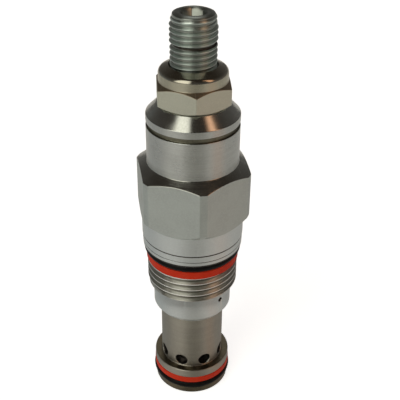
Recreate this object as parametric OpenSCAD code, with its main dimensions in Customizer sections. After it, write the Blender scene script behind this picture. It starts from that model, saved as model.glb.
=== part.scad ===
// Pilot-operated, balanced-piston relief cartridge: a two-port screw-in hydraulic valve.
//
// Z is the valve's axis, and Z = 0 is the underside of the locating ring, which stops on the
// cavity's spot face. +Z points to the adjusting screw and -Z to the nose. A corner of the
// valve hex points to -Y. The valve is at rest: adjusting screw backed out, lock nut down,
// pilot poppet and main piston closed.
//
// Threads are drawn as plain rings of the thread's own profile, so that crests and pitch can
// be measured. The threaded holes they turn in are plain bores at the crests' running size.

/* [Cavity thread and ports] */
// Major diameter of the M20 x 1.5 cavity thread, as cut
thread_d = 19.86; // [19.7:0.02:19.96]
// Pitch of the cavity thread
thread_pitch = 1.5; // [1.4:0.05:1.5]
// Height of the highest crest of the cavity thread
thread_first_crest_z = -3.76; // [-3.8:0.02:-3.76]
// Number of crests on the cavity thread
thread_crests = 5; // [4:1:5]
// Diameter of the plain spigot below the thread
spigot_d = 17.36; // [17.2:0.02:17.6]
// Diameter of the seal land at the nose
land_d = 17.42; // [17.2:0.02:17.5]
// Height of the nose's end
nose_end_z = -38.8; // [-39.2:0.01:-38.6]
// Diameter of the side ports in the nose sleeve
side_port_d = 2.9; // [2.4:0.1:3.2]
// Number of side ports
side_ports = 8; // [4:1:8]
// Height of the side ports
side_port_z = -29.95; // [-30.2:0.05:-29.8]

/* [Valve hex and bonnet] */
// Valve hex across flats (7/8 in)
hex_af = 22.225; // [22.1:0.005:22.3]
// Diameter to which the hex's corners are turned
hex_corner_d = 24.8; // [24.4:0.1:25.4]
// Height of the hex's lower end
hex_bottom_z = 7.2; // [6.8:0.1:7.6]
// Height of the hex's upper end, where it meets the round part
hex_top_z = 20.15; // [19:0.05:21]
// Diameter of the flange below the hex
flange_d = 21.8; // [21.7:0.05:22]
// Diameter of the bonnet's round part
bonnet_d = 19.1; // [18.8:0.05:19.4]
// Height of the bonnet's end face, where the lock nut seats
bonnet_top_z = 33.1; // [33.1:0.1:33.4]
// Diameter of the locating ring below the flange
ring_d = 21.64; // [21.6:0.02:21.7]
// Height of the joint between the bonnet and the threaded body
joint_z = 2.75; // [2.7:0.01:2.8]

/* [Adjuster] */
// Major diameter of the 3/8-24 adjusting screw, as cut
screw_d = 9.34; // [9.31:0.01:9.4]
// Pitch of the adjusting screw
screw_pitch = 1.05833; // [1.0:0.00001:1.05833]
// Height of the adjusting screw's end when backed out
screw_top_z = 51.1; // [51.1:0.05:52]
// Size across flats of the screw's hex socket (5/32 in)
socket_af = 3.969; // [3.9:0.001:4.1]
// Turns from the lowest to the highest setting
adjuster_turns = 5; // [4:0.5:5]
// Lock nut across flats (9/16 in)
nut_af = 14.288; // [14.1:0.001:14.3]
// Height of the lock nut, with its collar
nut_height = 7.76; // [7.7:0.02:7.9]

/* [Hidden] */
$fn = 96;

// Colours
zinc = [0.66, 0.68, 0.66];
bright_steel = [0.58, 0.57, 0.54];
ground_steel = [0.42, 0.40, 0.36];
plated_screw = [0.50, 0.52, 0.49];
black_rubber = [0.05, 0.05, 0.05];
red_urethane = [0.68, 0.13, 0.08];
spring_steel = [0.35, 0.36, 0.38];
nylon = [0.20, 0.24, 0.22];
stainless = [0.62, 0.62, 0.60];

// Fits
screw_gap = 0.05;       // radial, crests in a threaded hole drawn as a bore
piston_gap = 0.03;      // radial, sliding fits
ring_gap = 0.02;        // between a seal or a clamped part and its neighbour
cut = 1;                // how far a cutting tool runs past a face

// Thread proportions: a 60 degree profile with a crest flat of p/8 and a root flat of p/4
crest_flat = 1 / 8;
root_flat = 1 / 4;
flank_run = (1 - crest_flat - root_flat) / 2;
function thread_depth(pitch) = pitch * flank_run / tan(30);

// Chamfers
nut_chamfer_slope = tan(30);
hex_chamfer_slope = tan(30);
edge = 0.15;

// Cavity thread, seal grooves and ring
thread_r = thread_d / 2;
thread_root_r = thread_r - thread_depth(thread_pitch);
thread_last_crest_z = thread_first_crest_z - (thread_crests - 1) * thread_pitch;
thread_end_z = thread_last_crest_z - 0.6;
gland_bottom_z = thread_first_crest_z + thread_pitch * crest_flat / 2;
body_seal_r = 10.56;
body_section_r = 0.93;
gland_r = body_seal_r - 2 * body_section_r - ring_gap;
gland_recess = 0.2;
gland_recess_r = body_seal_r + 0.04;
seat_edge_r = 10.7;
seat_chamfer_h = 0.42;
body_o_ring_z = gland_recess - body_section_r - 0.06;
backup_r = 10.1;
nose_seal_r = 9;
nose_section_r = 0.89;
nose_gland_r = nose_seal_r - 2 * nose_section_r - ring_gap;
nose_o_ring_z = -36.15;
nose_gland_top_z = -33.6;
nose_gland_bottom_z = -37.1;
nose_backup_r = 8.8;
nose_lip_r = 8.55;
land_top_z = -31.6;

// Threaded body
body_bottom_z = -17.15;
body_top_z = 10.6;
spigot_r = spigot_d / 2;
joint_spigot_r = 8;
chamber_r = 6;
seat_step_z = -7.5;
shoulder_hole_r = 4.6;
sleeve_stop_z = -9.5;
sleeve_top_r = 6.7;
neck_r = 7.1;
neck_top_z = -15.9;
drain_angle = 35.9;      // from the hex corner at -Y towards +X
drain_z = -12.31;
drain_r = 0.55;
drain_meet_r = 8;
drain_passage_r = 0.45;

// Bonnet
counterbore_top_z = body_top_z + 0.3;
bonnet_r = bonnet_d / 2;
flange_r = flange_d / 2;
carrier_bore_r = 6.35;
carrier_bore_top_z = 25;
groove_z = 28.3;
groove_h = 1.05;
groove_depth = 0.45;
bonnet_chamfer_z = 30.8;
nut_face_r = 7.3;

// Adjuster
screw_r = screw_d / 2;
screw_hole_r = screw_r + screw_gap;
screw_lower_r = screw_r - 0.07;
screw_bottom_z = 23.4;
screw_head_r = 5.6;
screw_relief_z = 44.88;
screw_relief_h = 0.5;
nut_corner_r = 8.22;
nut_bottom_z = bonnet_top_z + 0.02;
nut_top_z = nut_bottom_z + nut_height;
nut_turn = -6.2;         // of the hexagon at rest, from the hex corner at -Y
nut_shoulder_z = nut_bottom_z + 3.88;
collar_r = 6.9;
collar_round = 0.85;
collar_slope = 26;       // of its top, in degrees down from the level
nut_mouth_r = 4.85;
insert_r = 5.9;
insert_bottom_z = nut_top_z - 2.66;
insert_h = 1.5;
adjuster_travel = adjuster_turns * screw_pitch;
carrier_top_z = screw_bottom_z - 0.05;
carrier_bottom_z = 16.4;
carrier_r = carrier_bore_r - piston_gap;

// Pilot stage
pilot_wire_r = 0.9;
pilot_coil_r = 4.3;
pilot_spring_play = 0.45;
seat_top_z = -1.5;
seat_hole_r = 0.8;
seat_o_ring_z = -5.65;
poppet_tip_z = -3.45;
poppet_collar_z = 0.9;
poppet_collar_h = 1.5;

// Main stage
sleeve_bore_r = 5;
side_port_angle = 14.6;  // of the first port, from the hex corner at -Y towards +X
sleeve_end_z = sleeve_stop_z - 0.3;
sleeve_o_ring_z = -11.65;
wire_z = -14.9;
piston_r = sleeve_bore_r - piston_gap;
piston_bottom_z = -32.4;
piston_top_z = -14;
piston_floor_z = -28.2;
piston_cup_r = 4.1;
main_wire_r = 0.45;
main_coil_r = 3.3;
screen_r = 3.08;
screen_seat_z = -31.03;

// The solid that an outline makes when it turns around Z
module lathe(outline) {
  rotate_extrude() polygon(outline);
}

// A rod between two heights
module rod(r, bottom, top) {
  translate([0, 0, bottom]) cylinder(h = top - bottom, r = r);
}

// A tube between two heights
module tube(outer_r, inner_r, bottom, top) {
  difference() {
    rod(outer_r, bottom, top);
    rod(inner_r, bottom - cut, top + cut);
  }
}

// A cone between two heights
module taper(bottom_r, top_r, bottom, top) {
  translate([0, 0, bottom]) cylinder(h = top - bottom, r1 = bottom_r, r2 = top_r);
}

// A ring of round section
module o_ring(centre_r, section_r, z, sweep = 360) {
  translate([0, 0, z]) rotate_extrude(angle = sweep) translate([centre_r, 0]) circle(r = section_r);
}

// A groove in a shaft, as the tool that cuts it
module groove(root_r, bottom, top) {
  tube(root_r + 10, root_r, bottom, top);
}

// A hexagon between two heights, with a corner turned by an angle from -Y
module hexagon(af, bottom, top, turn = 0) {
  translate([0, 0, bottom]) rotate([0, 0, turn - 90]) cylinder(h = top - bottom, d = af / cos(30), $fn = 6);
}

// Points of a threaded shaft's outline, going up from the lowest crest
function thread_outline(crest_r, root_r, pitch, lowest_z, crests) = [
  for (i = [0 : crests - 1])
    for (p = [
      [root_r, -crest_flat / 2 - flank_run],
      [crest_r, -crest_flat / 2],
      [crest_r, crest_flat / 2],
      [root_r, crest_flat / 2 + flank_run],
    ])
      [p[0], lowest_z + (i + p[1]) * pitch],
];

// A helical spring with a closed coil at each end. Stations run along the wire.
coil_stations = 20;
wire_sides = 8;
function coil_z(turn, turns, bottom, top, wire_r) =
  let (
    closed = 2.06 * wire_r,
    low = bottom + wire_r + closed * min(turn, 1),
    high = top - wire_r - closed * min(turns - turn, 1),
    middle = max(0, min(1, (turn - 1) / (turns - 2)))
  )
  low + (high - low) * middle;

module spring(coil_r, wire_r, bottom, top, turns) {
  stations = turns * coil_stations;
  points = [
    for (i = [0 : stations])
      for (j = [0 : wire_sides - 1])
        let (
          turn = i / coil_stations,
          around = 360 * j / wire_sides,
          r = coil_r + wire_r * cos(around)
        )
        [
          r * cos(360 * turn),
          r * sin(360 * turn),
          coil_z(turn, turns, bottom, top, wire_r) + wire_r * sin(around),
        ]
  ];
  sides = [
    for (i = [0 : stations - 1])
      for (j = [0 : wire_sides - 1])
        let (next = (j + 1) % wire_sides)
        [
          i * wire_sides + j,
          i * wire_sides + next,
          (i + 1) * wire_sides + next,
          (i + 1) * wire_sides + j,
        ]
  ];
  start = [[for (j = [wire_sides - 1 : -1 : 0]) j]];
  end = [[for (j = [0 : wire_sides - 1]) stations * wire_sides + j]];
  polyhedron(points = points, faces = concat(sides, start, end), convexity = 10);
}

// Hexagonal housing: flange, hex, round part with its groove, and the seat for the lock nut
module bonnet() {
  corner_r = hex_corner_d / 2;
  color(zinc) difference() {
    union() {
      intersection() {
        hexagon(hex_af, hex_bottom_z, hex_top_z);
        lathe([
          [0, hex_bottom_z],
          [flange_r, hex_bottom_z],
          [corner_r, hex_bottom_z + corner_r - flange_r],
          [corner_r, hex_top_z - (corner_r - bonnet_r) * hex_chamfer_slope],
          [bonnet_r, hex_top_z],
          [0, hex_top_z],
        ]);
      }
      lathe([
        [0, joint_z + ring_gap],
        [flange_r - edge, joint_z + ring_gap],
        [flange_r, joint_z + ring_gap + edge],
        [flange_r, hex_bottom_z + 1],
        [bonnet_r, hex_bottom_z + 1],
        [bonnet_r, groove_z],
        [bonnet_r - groove_depth, groove_z + 0.1],
        [bonnet_r - groove_depth, groove_z + groove_h - 0.1],
        [bonnet_r, groove_z + groove_h],
        [bonnet_r, bonnet_chamfer_z],
        [nut_face_r, bonnet_top_z],
        [0, bonnet_top_z],
      ]);
    }
    rod(joint_spigot_r + screw_gap, joint_z - cut, counterbore_top_z);
    rod(carrier_bore_r, joint_z - cut, carrier_bore_top_z);
    rod(screw_hole_r, joint_z - cut, bonnet_top_z + cut);
    taper(screw_hole_r, screw_hole_r + 0.5, bonnet_top_z - 0.5, bonnet_top_z + 0.001);
  }
}

// Lower body: locating ring, upper seal groove, cavity thread, spigot and drain
module threaded_body() {
  ring_r = ring_d / 2;
  joint_thread_pitch = 1;
  joint_crest_r = joint_spigot_r - 0.05;
  color(zinc) difference() {
    lathe(concat(
      [
        [0, body_bottom_z],
        [neck_r + 0.65, body_bottom_z],
        [spigot_r, body_bottom_z + 1.25],
        [spigot_r, thread_end_z - 0.25],
        [thread_root_r - 0.05, thread_end_z],
      ],
      [
        for (p = thread_outline(thread_r, thread_root_r, thread_pitch, thread_last_crest_z, thread_crests))
          if (p[1] <= gland_bottom_z + 0.001) p
      ],
      [
        [gland_r, gland_bottom_z],
        [gland_r, gland_recess],
        [gland_recess_r, gland_recess],
        [gland_recess_r, 0],
        [seat_edge_r, 0],
        [ring_r - 0.05, seat_chamfer_h],
        [ring_r - 0.05, 1.15],
        [ring_r - 0.15, 1.2],
        [ring_r, 1.35],
        [ring_r, joint_z - edge],
        [ring_r - edge, joint_z],
        [joint_spigot_r, joint_z],
        [joint_spigot_r, 3.3],
        [6.98, 3.3],
        [6.98, 4.7],
        [joint_spigot_r, 4.7],
        [joint_spigot_r, 5.1],
      ],
      thread_outline(joint_crest_r, joint_crest_r - thread_depth(joint_thread_pitch),
        joint_thread_pitch, 5.9, 4),
      [
        [7.3, body_top_z],
        [0, body_top_z],
      ]
    ));
    rod(chamber_r, seat_step_z, body_top_z + cut);
    rod(shoulder_hole_r, sleeve_stop_z - cut, seat_step_z + cut);
    rod(sleeve_top_r + screw_gap, neck_top_z + 0.1, sleeve_stop_z);
    rod(neck_r + 0.15, body_bottom_z - cut, neck_top_z + 0.1);
    rod(7.3, wire_z - 0.55, wire_z + 0.55);
    rotate([0, 0, drain_angle - 90]) drain_drillings();
  }
}

// Cross hole in the spigot, met by a slanting passage from the spring chamber, along +X
module drain_drillings() {
  passage_start = [5.9, -0.5];
  run = drain_meet_r - passage_start[0];
  fall = passage_start[1] - drain_z;
  translate([drain_meet_r - 0.45, 0, drain_z]) rotate([0, 90, 0]) cylinder(h = 3, r = drain_r);
  translate([drain_meet_r, 0, drain_z]) rotate([0, -atan(run / fall), 0])
    cylinder(h = norm([run, fall]), r = drain_passage_r);
}

// Seal between the bonnet and the threaded body
module joint_o_ring() {
  color(black_rubber) o_ring(7.51, 0.5, 4);
}

// Upper external seal, against the cavity's mouth
module body_o_ring() {
  color(black_rubber) o_ring(body_seal_r - body_section_r, body_section_r, body_o_ring_z);
}

module body_backup_ring() {
  top = body_o_ring_z - body_section_r - 0.04;
  color(red_urethane) tube(backup_r, gland_r + ring_gap, gland_bottom_z + 0.05, top);
}

// Hex lock nut with a turned collar that is rolled over its seal insert
module lock_nut() {
  corner_run = nut_corner_r - 7;
  collar_bottom_z = nut_shoulder_z + (nut_corner_r - collar_r) * nut_chamfer_slope;
  round_r = collar_r - collar_round;
  top_r = round_r + collar_round * sin(collar_slope);
  round_z = nut_top_z - (top_r - nut_mouth_r) * tan(collar_slope) - collar_round * cos(collar_slope);
  round_steps = 8;
  color(bright_steel) difference() {
    union() {
      intersection() {
        hexagon(nut_af, nut_bottom_z, round_z, nut_turn);
        lathe([
          [0, nut_bottom_z],
          [7, nut_bottom_z],
          [nut_corner_r, nut_bottom_z + corner_run * nut_chamfer_slope],
          [nut_corner_r, nut_shoulder_z],
          [collar_r, collar_bottom_z],
          [0, collar_bottom_z],
        ]);
      }
      lathe(concat(
        [[0, nut_bottom_z + cut], [collar_r, nut_bottom_z + cut]],
        [
          for (i = [0 : round_steps])
            let (a = (90 - collar_slope) * i / round_steps)
              [round_r + collar_round * cos(a), round_z + collar_round * sin(a)],
        ],
        [[nut_mouth_r, nut_top_z], [0, nut_top_z]]
      ));
    }
    rod(screw_hole_r, nut_bottom_z - cut, nut_top_z + cut);
    rod(insert_r + ring_gap, insert_bottom_z - ring_gap, insert_bottom_z + insert_h + ring_gap);
    rod(nut_mouth_r, insert_bottom_z, nut_top_z + cut);
    taper(screw_hole_r + 0.5, screw_hole_r, nut_bottom_z - 0.001, nut_bottom_z + 0.5);
  }
}

module nut_seal_insert() {
  color(nylon) tube(insert_r, screw_r + 0.04, insert_bottom_z, insert_bottom_z + insert_h);
}

// Adjusting screw with a captive head below and a hex socket above
module adjust_screw() {
  depth = thread_depth(screw_pitch);
  half_crest = (crest_flat / 2 + flank_run) * screw_pitch;
  lower_crests = 18;
  upper_crests = 4;
  lowest_z = screw_relief_z - half_crest - (lower_crests - 1) * screw_pitch;
  upper_lowest_z = screw_relief_z + screw_relief_h + 0.45;
  tip_bottom_z = upper_lowest_z + upper_crests * screw_pitch - 0.1;
  tip_r = screw_r - 0.25;
  color(plated_screw) difference() {
    lathe(concat(
      [
        [0, screw_bottom_z],
        [screw_head_r, screw_bottom_z],
        [screw_head_r, carrier_bore_top_z - 0.1],
        [screw_lower_r - depth, carrier_bore_top_z - 0.1],
      ],
      thread_outline(screw_lower_r, screw_lower_r - depth, screw_pitch, lowest_z, lower_crests),
      [
        [screw_r - depth - 0.1, screw_relief_z],
        [screw_r - depth - 0.1, screw_relief_z + screw_relief_h],
      ],
      thread_outline(screw_r, screw_r - depth, screw_pitch, upper_lowest_z, upper_crests),
      [
        [tip_r, tip_bottom_z],
        [tip_r, tip_bottom_z + 0.2],
        [4.1, screw_top_z - 0.3],
        [3.35, screw_top_z],
        [0, screw_top_z],
      ]
    ));
    hexagon(socket_af, screw_top_z - 4.5, screw_top_z + cut);
    taper(1.9, 2.75, screw_top_z - 0.85, screw_top_z + 0.001);
  }
}

// Sealed piston that carries the pilot spring, pushed down by the screw
module spring_carrier() {
  boss_r = 2.6;
  boss_h = 2.5;
  color(bright_steel) difference() {
    lathe([
      [0, carrier_bottom_z - boss_h],
      [boss_r - 0.5, carrier_bottom_z - boss_h],
      [boss_r, carrier_bottom_z - boss_h + 0.5],
      [boss_r, carrier_bottom_z],
      [carrier_r - 0.3, carrier_bottom_z],
      [carrier_r, carrier_bottom_z + 0.3],
      [carrier_r, carrier_top_z - 0.3],
      [carrier_r - 0.3, carrier_top_z],
      [0, carrier_top_z],
    ]);
    groove(5.1, 19.2, 20.9);
  }
}

module carrier_o_ring() {
  color(black_rubber) o_ring(5.73, 0.61, 20.05);
}

module pilot_spring() {
  bottom = poppet_collar_z + poppet_collar_h + ring_gap;
  top = carrier_bottom_z - pilot_spring_play;
  color(spring_steel) spring(pilot_coil_r, pilot_wire_r, bottom, top, 4.5);
}

// Cone poppet with the collar that carries the pilot spring
module pilot_poppet() {
  cone_top_z = 0.36;
  stem_r = (cone_top_z - poppet_tip_z) * tan(30);
  collar_r = 5;
  collar_top_z = poppet_collar_z + poppet_collar_h;
  notch_r = 1.1;
  color(bright_steel) difference() {
    lathe([
      [0, poppet_tip_z],
      [stem_r, cone_top_z],
      [stem_r, poppet_collar_z],
      [collar_r, poppet_collar_z],
      [collar_r, collar_top_z],
      [2.7, collar_top_z],
      [2.7, collar_top_z + 1.9],
      [2.1, collar_top_z + 2.5],
      [0, collar_top_z + 2.5],
    ]);
    for (i = [0 : 3]) rotate([0, 0, 90 * i]) translate([collar_r + 0.3, 0, 0])
      rod(notch_r, poppet_collar_z - cut, collar_top_z + cut);
  }
}

module pilot_seat() {
  seat_r = chamber_r - piston_gap;
  color(bright_steel) difference() {
    lathe([
      [0, sleeve_end_z + 0.5],
      [2.4, sleeve_end_z + 0.5],
      [2.4, seat_step_z + ring_gap],
      [seat_r, seat_step_z + ring_gap],
      [seat_r, seat_top_z - 0.3],
      [seat_r - 0.3, seat_top_z],
      [0, seat_top_z],
    ]);
    groove(4.9, seat_o_ring_z - 0.7, seat_o_ring_z + 0.7);
    rod(seat_hole_r, sleeve_stop_z - cut, seat_top_z + cut);
    rod(1.3, sleeve_stop_z - cut, -4.2);
    taper(seat_hole_r, seat_hole_r + 0.6, seat_top_z - 0.6, seat_top_z + 0.001);
  }
}

module seat_o_ring() {
  color(black_rubber) o_ring(5.45, 0.525, seat_o_ring_z);
}

// Floating nose sleeve: neck with the side ports, and the land that seals port 1 from port 2
module nose_sleeve() {
  land_r = land_d / 2;
  fillet = 0.5;
  color(ground_steel) difference() {
    lathe([
      [0, nose_end_z],
      [nose_lip_r - 0.3, nose_end_z],
      [nose_lip_r, nose_end_z + 0.3],
      [nose_lip_r, nose_gland_bottom_z],
      [nose_gland_r, nose_gland_bottom_z],
      [nose_gland_r, nose_gland_top_z],
      [land_r, nose_gland_top_z],
      [land_r, land_top_z - 0.12],
      [land_r - 0.12, land_top_z],
      [neck_r + fillet, land_top_z],
      [neck_r, land_top_z + fillet],
      [neck_r, neck_top_z],
      [sleeve_top_r, neck_top_z],
      [sleeve_top_r, sleeve_end_z - 0.4],
      [sleeve_top_r - 0.4, sleeve_end_z],
      [0, sleeve_end_z],
    ]);
    groove(5.75, sleeve_o_ring_z - 0.7, sleeve_o_ring_z + 0.7);
    groove(6.15, wire_z - 0.55, wire_z + 0.55);
    rod(sleeve_bore_r, nose_end_z - cut, sleeve_end_z + cut);
    rod(5.5, -33.5, piston_bottom_z - 0.1);
    taper(sleeve_bore_r + 0.8, sleeve_bore_r, nose_end_z - 0.001, nose_end_z + 0.8);
    for (i = [0 : side_ports - 1])
      rotate([0, 0, side_port_angle - 90 + 360 * i / side_ports])
        translate([sleeve_bore_r - 1, 0, side_port_z])
        rotate([0, 90, 0]) cylinder(h = 4, d = side_port_d);
  }
}

module sleeve_o_ring() {
  color(black_rubber) o_ring(6.245, 0.475, sleeve_o_ring_z);
}

// Open wire ring that holds the sleeve in the body and lets it float
module sleeve_retaining_wire() {
  color(spring_steel) o_ring(6.725, 0.5, wire_z, 325);
}

module main_spring() {
  color(spring_steel) spring(main_coil_r, main_wire_r, piston_floor_z + 0.03, seat_step_z - 0.03, 11);
}

// Cup piston that opens the side ports
module main_piston() {
  color(bright_steel) difference() {
    lathe([
      [0, piston_bottom_z],
      [piston_r - 0.15, piston_bottom_z],
      [piston_r, piston_bottom_z + 0.15],
      [piston_r, piston_top_z - 0.3],
      [piston_r - 0.3, piston_top_z],
      [0, piston_top_z],
    ]);
    for (z = [-25, -21.5, -18]) groove(piston_r - 0.25, z, z + 0.4);
    rod(piston_cup_r, piston_floor_z, piston_top_z + cut);
    rod(1.6, piston_bottom_z - cut, piston_floor_z + cut);
    rod(screen_r - 0.48, piston_bottom_z - cut, -30.2);
    rod(screen_r + ring_gap, piston_bottom_z - cut, screen_seat_z);
  }
}

// Plug with the main-stage orifice, in the piston's floor
module orifice_plug() {
  color(bright_steel) difference() {
    rod(1.58, -30.2, piston_floor_z);
    rod(0.4, -30.2 - cut, piston_floor_z + cut);
    rod(0.8, -30.2 - cut, -29.2);
    translate([-2, -0.25, -30.2 - cut]) cube([4, 0.5, cut + 0.4]);
  }
}

// Woven screen below the orifice, drawn as a disc with the screen's outline
module filter_screen() {
  color(stainless) rod(screen_r, screen_seat_z - 0.27, screen_seat_z - ring_gap);
}

module screen_retainer() {
  color(bright_steel) tube(screen_r, 2.3, piston_bottom_z + 0.1, screen_seat_z - 0.29);
}

// Snap ring in the sleeve's bore that the piston rests on
module piston_stop_ring() {
  color(spring_steel) tube(5.45, 4.2, -33.45, piston_bottom_z - 0.15);
}

// Nose seal, between port 1 and port 2
module nose_o_ring() {
  color(black_rubber) o_ring(nose_seal_r - nose_section_r, nose_section_r, nose_o_ring_z);
}

module nose_backup_ring() {
  bottom = nose_o_ring_z + nose_section_r + 0.03;
  color(red_urethane) tube(nose_backup_r, nose_gland_r + ring_gap, bottom, nose_gland_top_z - 0.05);
}

bonnet();
threaded_body();
joint_o_ring();
body_o_ring();
body_backup_ring();
lock_nut();
nut_seal_insert();
adjust_screw();
spring_carrier();
carrier_o_ring();
pilot_spring();
pilot_poppet();
pilot_seat();
seat_o_ring();
nose_sleeve();
sleeve_o_ring();
sleeve_retaining_wire();
main_spring();
main_piston();
orifice_plug();
filter_screen();
screen_retainer();
piston_stop_ring();
nose_o_ring();
nose_backup_ring();
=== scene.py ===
"""Looks of the relief cartridge valve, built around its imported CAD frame.

Sizes below are in millimetres and scaled to metres where a mesh is made. Heights and
outer sizes come from the CAD nodes' boxes; the values here are the details between them.
"""
from math import acos, asin, atan2, ceil, cos, dist, exp, hypot, inf, log, pi, radians, sin, sqrt, tan

import bmesh
import bpy
from mathutils import Matrix, Vector


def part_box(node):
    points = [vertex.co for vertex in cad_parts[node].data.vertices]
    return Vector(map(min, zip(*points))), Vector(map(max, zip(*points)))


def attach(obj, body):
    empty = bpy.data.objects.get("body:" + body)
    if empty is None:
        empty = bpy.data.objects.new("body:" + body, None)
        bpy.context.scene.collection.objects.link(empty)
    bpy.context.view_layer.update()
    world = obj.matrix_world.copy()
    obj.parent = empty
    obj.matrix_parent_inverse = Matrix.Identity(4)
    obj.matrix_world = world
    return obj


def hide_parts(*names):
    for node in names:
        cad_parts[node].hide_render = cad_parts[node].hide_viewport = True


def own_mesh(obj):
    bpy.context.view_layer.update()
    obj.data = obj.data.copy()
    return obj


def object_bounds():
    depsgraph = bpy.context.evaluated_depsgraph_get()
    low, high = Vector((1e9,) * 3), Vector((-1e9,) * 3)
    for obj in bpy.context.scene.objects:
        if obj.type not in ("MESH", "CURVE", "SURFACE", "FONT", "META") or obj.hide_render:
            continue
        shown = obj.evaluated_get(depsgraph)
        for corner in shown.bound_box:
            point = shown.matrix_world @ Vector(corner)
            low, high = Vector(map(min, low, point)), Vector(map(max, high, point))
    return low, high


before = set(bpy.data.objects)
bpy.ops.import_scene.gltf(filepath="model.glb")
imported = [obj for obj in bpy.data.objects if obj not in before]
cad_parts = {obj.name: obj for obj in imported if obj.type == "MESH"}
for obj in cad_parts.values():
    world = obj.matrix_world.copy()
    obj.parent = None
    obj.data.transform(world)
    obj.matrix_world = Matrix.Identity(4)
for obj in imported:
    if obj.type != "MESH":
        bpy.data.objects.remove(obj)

CAD_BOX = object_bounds()
MM = 0.001
TINY = 1e-9


class Extent:
    """Lowest and highest height of a CAD node and its reach along X and Y, in millimetres."""

    def __init__(self, node):
        low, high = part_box(node)
        self.bottom = low.z / MM
        self.top = high.z / MM
        self.rx = high.x / MM
        self.ry = high.y / MM


# -------- mesh tools

COLUMNS = 192
# A rounded corner: its points, the largest share of an edge it takes, and the flat kept beside it.
ARC_POINTS = 4
CUT_SHARE = 0.4
HOLD = 0.04
HOLD_SHARE = 0.05
# Distances in metres under which points merge and faces collapse.
MERGE = 2e-8
COLLAPSE = 1e-8
# Margins that tell which surface a face's centre lies on, and ranges for paint().
HAIR = 0.01
NEAR = 0.05
INSIDE = 0.2
FAR = inf
ANY = (-FAR, FAR)
SLOPING = (0.3, 0.97)


def lerp(a, b, t):
    return a + (b - a) * t


def point_between(a, b, t):
    return tuple(lerp(a[k], b[k], t) for k in (0, 1))


def soften(outline, radius, closed=True):
    """Rounds an outline of (r, z) points. Every corner gives the same number of points."""
    count = len(outline)
    result = []
    for i, p in enumerate(outline):
        if not closed and i in (0, count - 1):
            result.append(p)
            continue
        before, after = outline[i - 1], outline[(i + 1) % count]
        to_before = dist(p, before) or TINY
        to_after = dist(p, after) or TINY
        cut = min(radius, CUT_SHARE * to_before, CUT_SHARE * to_after)
        start = point_between(p, before, cut / to_before)
        end = point_between(p, after, cut / to_after)
        hold_in = min(HOLD, HOLD_SHARE * to_before)
        hold_out = min(HOLD, HOLD_SHARE * to_after)
        result.append(point_between(start, before, hold_in / to_before))
        for step in range(ARC_POINTS + 1):
            t = step / ARC_POINTS
            result.append(tuple(
                (1 - t) ** 2 * start[k] + 2 * t * (1 - t) * p[k] + t ** 2 * end[k] for k in (0, 1)
            ))
        result.append(point_between(end, after, hold_out / to_after))
    return result


def circle(centre_r, centre_z, radius, sides):
    """Points of a round section, starting from its outside."""
    turns = [2 * pi * i / sides for i in range(sides)]
    return [(centre_r + radius * cos(t), centre_z + radius * sin(t)) for t in turns]


def even_angles(columns=COLUMNS):
    return [2 * pi * i / columns for i in range(columns)]


def point(radius, angle, height):
    return Vector((radius * cos(angle), radius * sin(angle), height)) * MM


def add_sweep(bm, outline_at, angles, closed=True):
    """Turns an outline round Z. outline_at(angle) gives its (r, z) points, always as many."""
    rows = []
    for angle in angles:
        rows.append([bm.verts.new(point(r, angle, z)) for r, z in outline_at(angle)])
    length = len(rows[0])
    for i, row in enumerate(rows):
        following = rows[(i + 1) % len(rows)]
        for k in range(length if closed else length - 1):
            m = (k + 1) % length
            bm.faces.new([row[k], following[k], following[m], row[m]])


def add_tube(bm, rings):
    """Joins rings of vertices into a tube with closed ends."""
    sides = len(rings[0])
    for a, b in zip(rings, rings[1:]):
        for j in range(sides):
            k = (j + 1) % sides
            bm.faces.new([a[j], a[k], b[k], b[j]])
    bm.faces.new(list(reversed(rings[0])))
    bm.faces.new(rings[-1])


def add_thread(bm, radius_at, phases, pitch, low, high):
    """A threaded skin whose rows follow a right-hand helix, cut square at both ends."""
    turns = ceil((high - low) / pitch) + 2
    start = low - pitch
    rows_per_turn = len(phases)
    grid = []
    for i in range(turns * rows_per_turn + 1):
        row_phase = i // rows_per_turn + phases[i % rows_per_turn]
        row = []
        for j in range(COLUMNS):
            z = min(max(start + pitch * (row_phase + j / COLUMNS), low), high)
            angle = 2 * pi * j / COLUMNS
            row.append(bm.verts.new(point(radius_at(z, angle), angle, z)))
        grid.append(row)
    for i in range(len(grid) - 1):
        for j in range(COLUMNS):
            if j < COLUMNS - 1:
                quad = (grid[i][j], grid[i][j + 1], grid[i + 1][j + 1], grid[i + 1][j])
            elif i + 1 + rows_per_turn < len(grid):
                k = i + rows_per_turn
                quad = (grid[i][j], grid[k][0], grid[k + 1][0], grid[i + 1][j])
            else:
                continue
            bm.faces.new(quad)


def finish_mesh(bm, name, body, material, node):
    """Cleans a mesh, makes it an object that rides on a body, and stands it for its CAD node."""
    bmesh.ops.remove_doubles(bm, verts=bm.verts, dist=MERGE)
    bmesh.ops.dissolve_degenerate(bm, edges=bm.edges, dist=COLLAPSE)
    loose = [v for v in bm.verts if not v.link_faces]
    bmesh.ops.delete(bm, geom=loose, context="VERTS")
    bmesh.ops.recalc_face_normals(bm, faces=bm.faces)
    mesh = bpy.data.meshes.new(name)
    bm.to_mesh(mesh)
    bm.free()
    mesh.shade_smooth()
    piece = bpy.data.objects.new(name, mesh)
    bpy.context.scene.collection.objects.link(piece)
    mesh.materials.append(material)
    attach(piece, body)
    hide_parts(node)
    return piece


def paint(piece, material, *regions):
    """Gives a material to the faces whose centres lie in a region.

    A region is ranges of the distance from the axis and the height, in mm, and optionally of
    the upward part of the face's normal.
    """
    piece.data.materials.append(material)
    index = len(piece.data.materials) - 1
    for face in piece.data.polygons:
        x, y, z = face.center / MM
        values = (hypot(x, y), z, face.normal.z)
        for region in regions:
            if all(low < value < high for value, (low, high) in zip(values, region)):
                face.material_index = index


# -------- threads

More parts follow.
